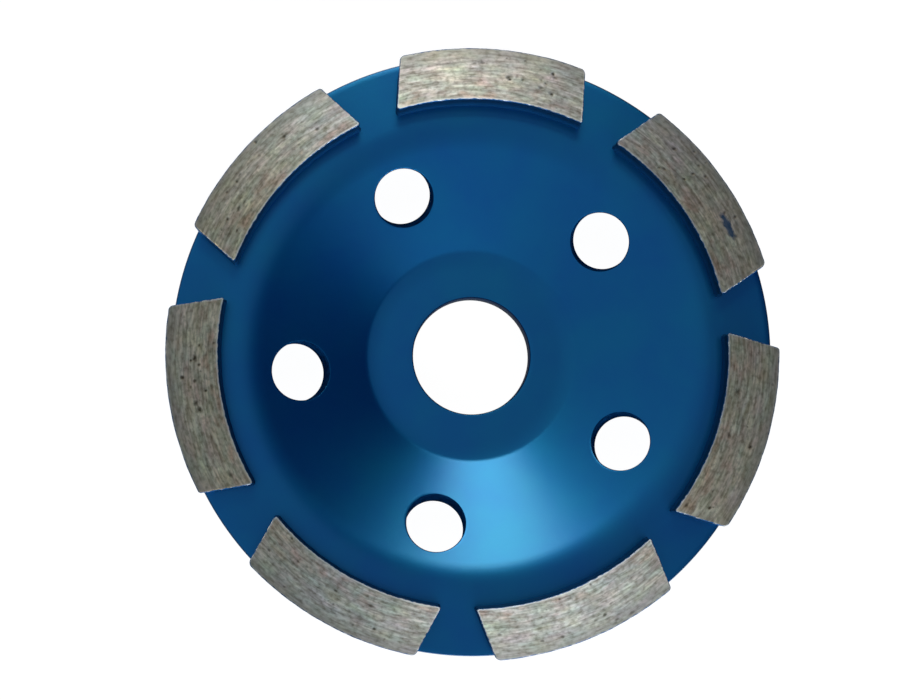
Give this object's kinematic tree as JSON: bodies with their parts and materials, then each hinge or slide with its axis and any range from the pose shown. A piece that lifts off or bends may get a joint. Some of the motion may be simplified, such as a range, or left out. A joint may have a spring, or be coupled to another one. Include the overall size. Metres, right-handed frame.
{
  "type": "diamond cup wheel",
  "caption": "Flat round grinding cup: painted steel dish with a central spindle bore, round vent holes in its wall and a single row of sintered abrasive segments on its rim.",
  "frame": {"origin": "centre of the spindle bore in the plane of the hub's back seat, which is the surface that the wheel rests on", "axes": "+Z along the spindle axis towards the grinding face; +Y points to the top of the picture and +X to its right"},
  "size_m": [0.1016, 0.1014, 0.0162],
  "materials": {
    "blue_paint_on_steel": "satin blue paint sprayed over machined steel",
    "sintered_metal": "metal bond with diamond grit, top ground bare with scratches along the rim, sides painted over"
  },
  "bodies": {
    "root": {"cup_body": "blue_paint_on_steel", "segment_1": "sintered_metal", "segment_2": "sintered_metal", "segment_3": "sintered_metal", "segment_4": "sintered_metal", "segment_5": "sintered_metal", "segment_6": "sintered_metal", "segment_7": "sintered_metal"}
  },
  "joints": []
}
